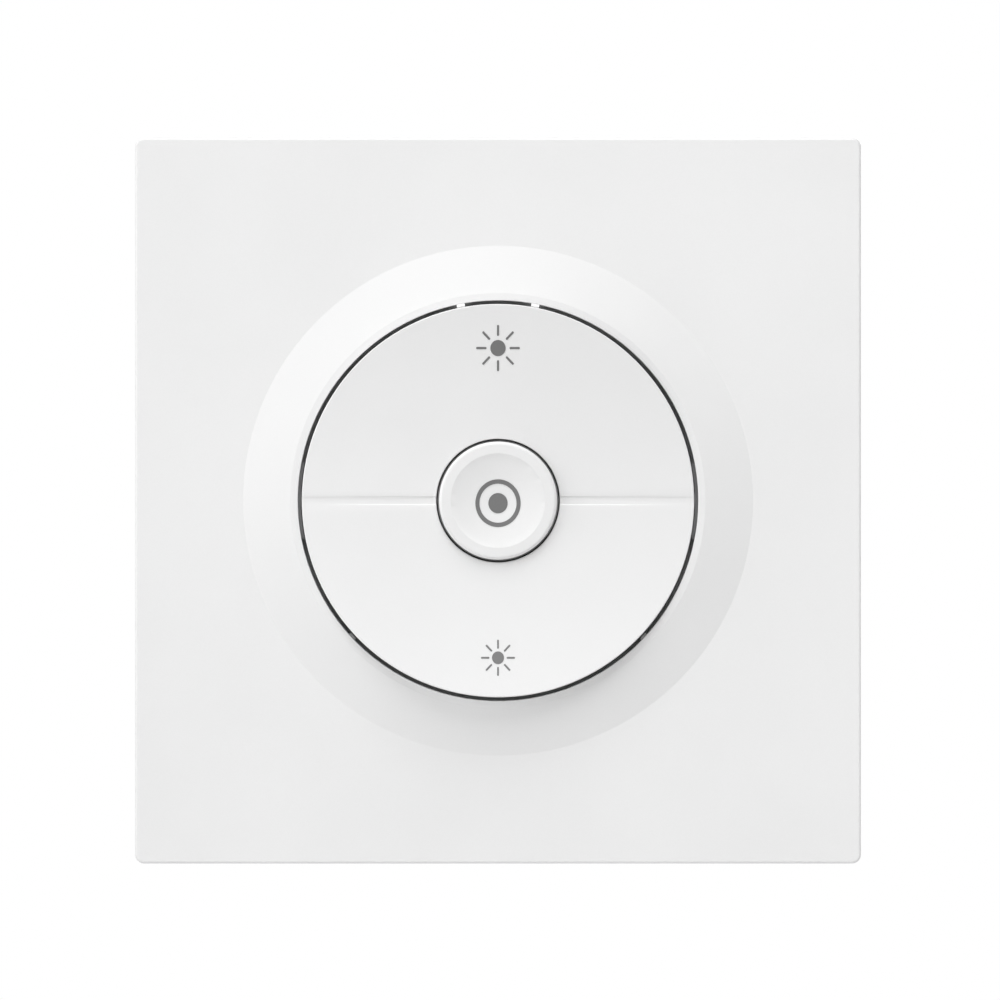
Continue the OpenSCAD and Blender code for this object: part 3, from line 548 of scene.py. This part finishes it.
class Bench:
    """The modelling moves that the pieces share."""

    @staticmethod
    def clear() -> None:
        """Deselects everything in object mode."""
        if bpy.context.object is not None and bpy.context.object.mode != "OBJECT":
            bpy.ops.object.mode_set(mode="OBJECT")
        bpy.ops.object.select_all(action="DESELECT")

    @staticmethod
    def pick(*objects: bpy.types.Object) -> None:
        """Selects the given objects alone and makes the first one active."""
        Bench.clear()
        for each in objects:
            each.select_set(True)
        bpy.context.view_layer.objects.active = objects[0]

    @staticmethod
    def settle(piece: bpy.types.Object) -> bpy.types.Object:
        """Moves an object's place, turn and scale into its mesh."""
        Bench.pick(piece)
        bpy.ops.object.transform_apply(location=True, rotation=True, scale=True)
        return piece

    @staticmethod
    def join(name: str, pieces: list[bpy.types.Object]) -> bpy.types.Object:
        """Joins objects into one.

        Args:
            name: The new name.
            pieces: The objects, each settled.

        Returns:
            The joined object.
        """
        Bench.pick(*pieces)
        if len(pieces) > 1:
            bpy.ops.object.join()
        pieces[0].name = name
        pieces[0].data.name = name
        return pieces[0]

    @staticmethod
    def modify(piece: bpy.types.Object, kind: str, **settings: Any) -> None:
        """Adds one modifier and applies it.

        Args:
            piece: The object.
            kind: The modifier's type.
            settings: The modifier's properties.
        """
        Bench.pick(piece)
        modifier = piece.modifiers.new(kind.title(), kind)
        for key, setting in settings.items():
            setattr(modifier, key, setting)
        bpy.ops.object.modifier_apply(modifier=modifier.name)


def dress(piece: bpy.types.Object, material: bpy.types.Material, smooth_deg: float = 32.0) -> None:
    """Gives an object one material, and smooth shading up to an angle.

    Args:
        piece: The object.
        material: Its material.
        smooth_deg: Edges sharper than this stay sharp.
    """
    piece.data.materials.clear()
    piece.data.materials.append(material)
    Bench.pick(piece)
    bpy.ops.object.shade_smooth_by_angle(angle=math.radians(smooth_deg))


@dataclass(frozen=True)
class Softened:
    """A CAD piece whose sharp edges are rounded, as a mould or a press leaves them.

    Rings of blunt edges stay crisp too, where their radius is between the crease's two.
    """

    node: str
    radius_mm: float
    slot: str
    crease_mm: tuple[float, float] | None = None


@dataclass
class SoftEdges:
    """Rounded copies of the outer pieces, each of which stands for its CAD node."""

    nodes: dict[str, bpy.types.Object]
    sharper_than_deg: float = 50.0
    smooth_deg: float = 40.0
    flat_deg: float = 0.4
    merge_mm: float = 0.002
    same_ring_mm: float = 0.02
    steps: int = 3
    flat_weight: int = 90
    plans: tuple[Softened, ...] = (
        Softened("cover_plate", 0.08, "plate_white", crease_mm=(22.5, 29.0)),
        Softened("rocker_key", 0.14, "key_white"),
        Softened("centre_button", 0.08, "key_white", crease_mm=(5.1, 5.3)),
        Softened("light_guide", 0.04, "clear_plastic"),
        Softened("rear_housing", 0.2, "housing_rear"),
        Softened("terminal_cover", 0.2, "housing_rear"),
        Softened("support_frame", 0.12, "zinc_steel"),
        *(Softened(f"release_button_{i}", 0.2, "release_orange") for i in TERMINALS),
    )

    def crease(self, piece: bpy.types.Object, low_mm: float, high_mm: float) -> None:
        """Marks the rings of edges round the middle as sharp.

        Args:
            piece: The object.
            low_mm: The least radius of such a ring.
            high_mm: The greatest.
        """
        reach = [math.hypot(vertex.co.x, vertex.co.z) / MM for vertex in piece.data.vertices]
        for edge in piece.data.edges:
            first, second = (reach[i] for i in edge.vertices)
            if low_mm < first < high_mm and abs(first - second) < self.same_ring_mm:
                edge.use_edge_sharp = True

    def soften(self, plan: Softened) -> None:
        """Copies a node, merges the copy's loose triangles and bevels its sharp edges.

        Args:
            plan: The node, its edges' radius and its crease.
        """
        node = self.nodes[plan.node]
        piece = bpy.data.objects.new(f"{plan.node}_rounded", node.data.copy())
        bpy.context.scene.collection.objects.link(piece)
        Bench.pick(piece)
        bpy.ops.object.mode_set(mode="EDIT")
        bpy.ops.mesh.select_all(action="SELECT")
        bpy.ops.mesh.remove_doubles(threshold=self.merge_mm * MM)
        bpy.ops.mesh.dissolve_limited(angle_limit=math.radians(self.flat_deg))
        bpy.ops.object.mode_set(mode="OBJECT")
        if plan.crease_mm is not None:
            self.crease(piece, *plan.crease_mm)
        Bench.modify(piece, "BEVEL", width=plan.radius_mm * MM, segments=self.steps, limit_method="ANGLE",
                     angle_limit=math.radians(self.sharper_than_deg), use_clamp_overlap=False)
        dress(piece, node.data.materials[0], self.smooth_deg)
        Bench.modify(piece, "WEIGHTED_NORMAL", keep_sharp=True, weight=self.flat_weight)
        Bench.modify(piece, "TRIANGULATE", keep_custom_normals=True)
        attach(piece, body_of(node)[0])
        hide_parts(plan.node)
        LOG.info("rounded %s: %d triangles", plan.node, len(piece.data.polygons))

    def build(self) -> None:
        """Rounds every piece of the plan."""
        for plan in self.plans:
            self.soften(plan)


@dataclass
class TerminalMarks:
    """Printed signs above the terminals, as any such switch carries."""

    ink: bpy.types.Material
    signs: tuple[str, ...] = ("N", "L", "1", "2")
    size_mm: float = 2.5
    above_mm: float = 1.1
    film_mm: float = 0.03
    sunk: float = 0.2
    merge_mm: float = 0.001

    def sign(self, text: str, x: float, y: float, z: float) -> bpy.types.Object:
        """Returns one flat sign that faces the rear.

        Args:
            text: The sign.
            x: Its middle, in metres.
            y: The face that it is printed on, in metres.
            z: Its foot, in metres.

        Returns:
            The sign as a thin mesh.
        """
        Bench.clear()
        bpy.ops.object.text_add(location=(x, y, z), rotation=UPRIGHT_FROM_BEHIND)
        piece = bpy.context.object
        piece.data.body = text
        piece.data.size = self.size_mm * MM
        piece.data.align_x = "CENTER"
        Bench.pick(piece)
        bpy.ops.object.convert(target="MESH")
        Bench.settle(piece)
        bpy.ops.object.mode_set(mode="EDIT")
        bpy.ops.mesh.select_all(action="SELECT")
        bpy.ops.mesh.remove_doubles(threshold=self.merge_mm * MM)
        bpy.ops.object.mode_set(mode="OBJECT")
        Bench.modify(piece, "SOLIDIFY", thickness=self.film_mm * MM, offset=1.0)
        Bench.modify(piece, "TRIANGULATE")
        return piece

    def build(self) -> None:
        """Prints one sign above each release button, from left to right as seen from behind."""
        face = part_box("terminal_cover")[1].y - self.sunk * self.film_mm * MM
        buttons = sorted((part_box(f"release_button_{i}") for i in TERMINALS), key=lambda box: -box[0].x)
        signs = []
        for text, (low, high) in zip(self.signs, buttons):
            signs.append(self.sign(text, (low.x + high.x) / 2, face, high.z + self.above_mm * MM))
        marks = Bench.join("print_terminal_marks", signs)
        dress(marks, self.ink)
        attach(marks, "base")
        LOG.info("terminal marks %s", " ".join(self.signs))


@dataclass(frozen=True)
class Sun:
    """A printed sun: one dot, and rays round it from start to end. Its sizes are in millimetres."""

    name: str
    z: float
    dot: float
    start: float
    end: float
    width: float
    rays: int = 8


@dataclass
class KeyPrints:
    """The grey prints: a large and a small sun on the rocker key, and a ring with a dot on the button.

    The sizes are in millimetres, and ray_round, tall and clear are shares.
    """

    nodes: dict[str, bpy.types.Object]
    ink: bpy.types.Material
    pale_ink: bpy.types.Material
    large_sun: Sun = Sun("print_large_sun", z=16.77, dot=0.84, start=1.27, end=2.4, width=0.23)
    small_sun: Sun = Sun("print_small_sun", z=-17.27, dot=0.66, start=0.95, end=1.87, width=0.19)
    ring_z: float = -0.28
    ring_outer: float = 2.49
    ring_inner: float = 2.04
    ring_dot: float = 1.06
    ray_round: float = 0.42
    ray_steps: int = 4
    tall: float = 1.055
    film: float = 0.03
    clear: float = 0.6
    start_y: float = -20.0

    def disc(self, z: float, radius: float, vertices: int = SMALL_CIRCLE) -> bpy.types.Object:
        """Returns a round dot in front of the keys, facing the room."""
        Bench.clear()
        bpy.ops.mesh.primitive_circle_add(vertices=vertices, radius=radius * MM, fill_type="NGON",
                                          location=(0.0, self.start_y * MM, z * MM), rotation=UPRIGHT)
        return Bench.settle(bpy.context.object)

    def ring(self) -> bpy.types.Object:
        """Returns the button's flat ring: a disc whose face is inset and its middle removed."""
        piece = self.disc(self.ring_z, self.ring_outer, LARGE_CIRCLE)
        bpy.ops.object.mode_set(mode="EDIT")
        bpy.ops.mesh.select_all(action="SELECT")
        bpy.ops.mesh.inset(thickness=(self.ring_outer - self.ring_inner) * MM)
        bpy.ops.mesh.delete(type="FACE")
        bpy.ops.object.mode_set(mode="OBJECT")
        return piece

    def ray(self, sun: Sun, angle: float) -> bpy.types.Object:
        """Returns one round-ended ray of a sun.

        Args:
            sun: The sun that it belongs to.
            angle: Direction of the ray, in radians from the right.

        Returns:
            The ray, facing the room.
        """
        middle = (sun.start + sun.end) / 2
        place = (middle * math.cos(angle), self.start_y, sun.z + middle * math.sin(angle))
        Bench.clear()
        bpy.ops.mesh.primitive_plane_add(size=1.0, rotation=(math.pi / 2, -angle, 0.0),
                                         location=[distance * MM for distance in place])
        piece = bpy.context.object
        piece.scale = ((sun.end - sun.start) * MM, sun.width * MM, 1.0)
        Bench.settle(piece)
        bpy.ops.object.mode_set(mode="EDIT")
        bpy.ops.mesh.select_all(action="SELECT")
        bpy.ops.mesh.bevel(offset=sun.width * self.ray_round * MM, segments=self.ray_steps,
                           affect="VERTICES")
        bpy.ops.object.mode_set(mode="OBJECT")
        return piece

    def sun(self, sun: Sun) -> bpy.types.Object:
        """Returns one finished sun on the rocker key."""
        parts = [self.disc(sun.z, sun.dot)]
        parts += [self.ray(sun, i * math.tau / sun.rays) for i in range(sun.rays)]
        return self.finish(Bench.join(sun.name, parts), sun.z, "rocker_key")

    def finish(self, piece: bpy.types.Object, z: float, carrier: str) -> bpy.types.Object:
        """Draws a print a little taller, lays it on its key and gives it the ink's thickness.

        Args:
            piece: The flat print in front of its key.
            z: Height of its middle.
            carrier: The CAD node that it is printed on.

        Returns:
            The print.
        """
        middle = Matrix.Translation((0, 0, z * MM))
        piece.data.transform(middle @ Matrix.Diagonal((1, 1, self.tall, 1)) @ middle.inverted())
        Bench.pick(piece)
        bpy.ops.object.mode_set(mode="EDIT")
        bpy.ops.mesh.select_all(action="SELECT")
        bpy.ops.mesh.quads_convert_to_tris(quad_method="BEAUTY", ngon_method="BEAUTY")
        bpy.ops.mesh.normals_make_consistent(inside=False)
        bpy.ops.object.mode_set(mode="OBJECT")
        Bench.modify(piece, "SHRINKWRAP", target=self.nodes[carrier], wrap_method="PROJECT",
                     use_project_x=False, use_project_y=True, use_project_z=False,
                     use_positive_direction=True, use_negative_direction=False,
                     wrap_mode="ABOVE_SURFACE", offset=self.clear * self.film * MM)
        Bench.modify(piece, "SOLIDIFY", thickness=self.film * MM, offset=0.0)
        Bench.modify(piece, "TRIANGULATE")
        return piece

    def build(self) -> None:
        """Makes the three prints and sets them on their keys."""
        ring = Bench.join("print_ring", [self.ring(), self.disc(self.ring_z, self.ring_dot)])
        prints = [
            (self.sun(self.large_sun), "rocker", self.ink),
            (self.sun(self.small_sun), "rocker", self.pale_ink),
            (self.finish(ring, self.ring_z, "centre_button"), "button", self.ink),
        ]
        for piece, body, ink in prints:
            dress(piece, ink)
            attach(piece, body)
            LOG.info("print %s on %s", piece.name, body)


@dataclass
class Wardrobe:
    """Which finish each CAD node wears."""

    nodes: dict[str, bpy.types.Object]
    white: Colour = (0.83, 0.83, 0.83)

    def shells(self) -> list[tuple[Finish, list[str]]]:
        """Returns the finishes of the plate, the keys and the housings, each with its nodes."""
        return [
            (MouldedPlastic("satin_white_plate", self.white, roughness=0.4), ["cover_plate"]),
            (MouldedPlastic("satin_white_key", self.white, roughness=0.37, grain_mm=0.14,
                            grain_depth_mm=0.003), ["rocker_key", "centre_button"]),
            (MouldedPlastic("grey_carrier", (0.42, 0.425, 0.43), roughness=0.5, grain_mm=0.22,
                            grain_depth_mm=0.008, flow=0.03, dust=0.2), ["front_housing"]),
            (MouldedPlastic("pale_grey_housing", (0.62, 0.625, 0.62), roughness=0.5, grain_mm=0.24,
                            grain_depth_mm=0.012, flow=0.03, dust=0.3), ["rear_housing", "terminal_cover"]),
            (ClearPlastic("frosted_guide", (0.88, 0.88, 0.88)), ["light_guide"]),
            (Silicone("grey_silicone", (0.1, 0.105, 0.11)), ["keypad_mat"]),
            (MouldedPlastic("orange_lever", (0.78, 0.19, 0.02), roughness=0.38, grain_mm=0.2,
                            grain_depth_mm=0.006, flow=0.04), [f"release_button_{i}" for i in TERMINALS]),
        ]

    def metals(self) -> list[tuple[Finish, list[str]]]:
        """Returns the metal finishes, each with its nodes."""
        return [
            (PressedSteel("zinc_plate", (0.62, 0.63, 0.64)), ["support_frame"]),
            (PressedSteel("screw_steel", (0.58, 0.58, 0.57), roughness=0.3, along=(1.0, 0.1, 1.0),
                          line_mm=0.08, spangle=0.1), ["housing_screws", "heat_sink_screws"]),
            (PressedSteel("tinned_can", (0.68, 0.68, 0.66), roughness=0.26, along=(1.0, 1.0, 0.06),
                          line_mm=0.1, spangle=0.15), ["radio_shield"]),
            (PressedSteel("spring_strip", (0.55, 0.55, 0.54), roughness=0.26, along=(0.06, 1.0, 1.0),
                          line_mm=0.06, spangle=0.05), [f"clamp_spring_{i}" for i in TERMINALS]),
            (PressedSteel("sink_aluminium", (0.74, 0.75, 0.76), roughness=0.38, along=(0.04, 1.0, 1.0),
                          line_mm=0.1, spangle=0.0), ["heat_sink"]),
            (Copper("enamelled_wire", (0.6, 0.22, 0.08), (0.36, 0.12, 0.05), roughness=0.24, enamel=0.6),
             ["choke_winding"]),
            (Copper("bus_copper", (0.8, 0.42, 0.28), (0.5, 0.24, 0.16)),
             [f"bus_bar_{i}" for i in TERMINALS]),
        ]

    def components(self) -> list[tuple[Finish, list[str]]]:
        """Returns the finishes of the boards and what they carry, each with its nodes."""
        return [
            (CircuitBoard("green_board", (0.012, 0.09, 0.035), (0.03, 0.17, 0.07)),
             ["control_board", "power_board"]),
            (CircuitBoard("blue_board", (0.01, 0.03, 0.1), (0.03, 0.07, 0.2), cell_mm=1.27), ["radio_board"]),
            (MouldedPlastic("black_component", (0.02, 0.02, 0.022), roughness=0.5, grain_mm=0.1,
                            grain_depth_mm=0.01, flow=0.1),
             ["control_chip", "header_socket", "pin_header", "power_transistor_left",
              "power_transistor_right"]),
            (MouldedPlastic("led_lens", (0.85, 0.8, 0.55), roughness=0.25, grain_mm=0.2,
                            grain_depth_mm=0.002), ["status_led"]),
            (Ferrite("ferrite"), ["choke_core", "transformer_core"]),
            (DippedCoat("yellow_film_box", (0.75, 0.42, 0.03)), ["film_capacitor"]),
            (DippedCoat("dark_sleeve", (0.01, 0.013, 0.03), band=(0.5, 0.52, 0.55), band_mm=(-6.6, -4.6)),
             ["bulk_capacitor"]),
            (DippedCoat("blue_epoxy", (0.01, 0.05, 0.3)), ["varistor"]),
            (MouldedPlastic("fuse_ceramic", (0.72, 0.7, 0.64), roughness=0.3, grain_mm=0.3,
                            grain_depth_mm=0.004, flow=0.05), ["fuse"]),
            (WoundTape("yellow_tape", (0.75, 0.5, 0.06)), ["transformer_coil"]),
        ]

    def build(self) -> None:
        """Makes each finish once and gives it to its nodes."""
        bare = set(self.nodes)
        for finish, names in self.shells() + self.metals() + self.components():
            material = finish.make()
            for name in names:
                dress(self.nodes[name], material)
            bare -= set(names)
            LOG.info("finish %s on %s", finish.name, ", ".join(names))
        if bare:
            LOG.warning("nodes without a finish: %s", sorted(bare))


@dataclass(frozen=True)
class Lamp:
    """A soft square lamp that looks at the switch. Its place and side are in metres, its power in watts."""

    name: str
    place: Triple
    side: float
    power: float


@dataclass
class Studio:
    """Camera, floor, lamps and the white surround. A length whose name doesn't say mm is in metres."""

    centre_mm: tuple[float, float] = (0.22, 0.07)
    distance: float = 1.0
    nearest: float = 0.01
    sensor_mm: float = 36.0
    plate_front_mm: float = 9.5
    view_width_mm: float = 110.19
    floor_z_mm: float = -75.0
    floor_radius: float = 0.45
    floor_grey: float = 0.76
    floor_white: float = 0.55
    floor_fade: tuple[float, float] = (0.08, 0.3)
    surround: float = 0.375
    lamps: tuple[Lamp, ...] = (
        Lamp("skylight", (0.0, -0.6, 1.1), side=0.9, power=12.1),
        Lamp("window", (-2.3, -1.2, 0.3), side=1.8, power=27.0),
        Lamp("back_fill", (0.5, 1.3, 0.6), side=0.9, power=6.0),
    )

    def camera(self) -> None:
        """Places a long lens square in front of the plate, with the photograph's width of view."""
        lens = bpy.data.cameras.new("photo_camera")
        lens.sensor_width = self.sensor_mm
        lens.lens = self.sensor_mm * self.distance / (self.view_width_mm * MM)
        lens.clip_start = self.nearest
        holder = bpy.data.objects.new("photo_camera", lens)
        bpy.context.scene.collection.objects.link(holder)
        across, up = self.centre_mm
        holder.location = (across * MM, -self.distance - self.plate_front_mm * MM, up * MM)
        holder.rotation_euler = UPRIGHT
        bpy.context.scene.camera = holder

    def lamp(self, plan: Lamp) -> None:
        """Adds one lamp and turns it to the switch."""
        light = bpy.data.lights.new(plan.name, "AREA")
        light.size = plan.side
        light.energy = plan.power
        holder = bpy.data.objects.new(plan.name, light)
        bpy.context.scene.collection.objects.link(holder)
        holder.location = plan.place
        holder.rotation_euler = Vector(plan.place).to_track_quat("Z", "Y").to_euler()

    @staticmethod
    def seen(paint: Paint) -> Value:
        """Returns 1 for a ray from the camera, a mirror or a clear piece, and 0 for any other."""
        rays = paint.node("ShaderNodeLightPath").outputs
        kinds = ("Is Camera Ray", "Is Glossy Ray", "Is Transmission Ray")
        camera, mirrored, passed = (Value(paint, rays[kind]) for kind in kinds)
        return (camera + mirrored + passed).ramp(0.0, 1.0, shape=Shape.LINEAR)

    def floor(self) -> None:
        """Lays a pale round floor below the switch, which fades to white away from it."""
        Bench.clear()
        bpy.ops.mesh.primitive_circle_add(vertices=LARGE_CIRCLE, radius=self.floor_radius,
                                          fill_type="NGON", location=(0.0, 0.0, self.floor_z_mm * MM))
        ground = bpy.context.object
        ground.name = "floor"
        paint = Paint("pale_floor")
        reach = paint.value("ShaderNodeVectorMath", {"operation": "LENGTH"}, {0: paint.place()}, output=1)
        share = reach.ramp(*self.floor_fade, self.floor_white, 1.0) * self.seen(paint)
        matt = paint.node("ShaderNodeBsdfDiffuse", None, {"Color": shade(WHITE, self.floor_grey)})
        white = paint.node("ShaderNodeEmission", None, {"Color": WHITE, "Strength": 1.0})
        sockets = {0: share, 1: matt.outputs[0], 2: white.outputs[0]}
        mixed = paint.node("ShaderNodeMixShader", None, sockets)
        paint.node("ShaderNodeOutputMaterial", None, {"Surface": mixed.outputs[0]})
        ground.data.materials.append(paint.block)

    def world(self) -> None:
        """Surrounds the scene with white, as seen and mirrored, and with a softer grey that lights it."""
        paint = Paint("surround", bpy.data.worlds)
        soft, white = (paint.node("ShaderNodeBackground", None, {"Color": WHITE, "Strength": strength})
                       for strength in (self.surround, 1.0))
        sockets = {0: self.seen(paint), 1: soft.outputs[0], 2: white.outputs[0]}
        mixed = paint.node("ShaderNodeMixShader", None, sockets)
        paint.node("ShaderNodeOutputWorld", None, {"Surface": mixed.outputs[0]})
        bpy.context.scene.world = paint.block

    def build(self) -> None:
        """Makes the whole studio."""
        self.camera()
        self.floor()
        self.world()
        for plan in self.lamps:
            self.lamp(plan)
        bpy.context.scene.view_settings.view_transform = "Standard"
        LOG.info("studio ready")


def main() -> None:
    """Loads the frame, dresses it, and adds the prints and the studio."""
    logging.basicConfig(level=logging.INFO, format="%(name)s: %(message)s")
    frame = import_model()
    nodes = frame["nodes"]
    Studio().build()
    Wardrobe(nodes).build()
    ink = PrintedInk("grey_ink", grey=0.163).make()
    pale_ink = PrintedInk("pale_grey_ink", grey=0.195).make()
    KeyPrints(nodes, ink, pale_ink).build()
    TerminalMarks(ink).build()
    SoftEdges(nodes).build()


if __name__ == "__main__":
    main()
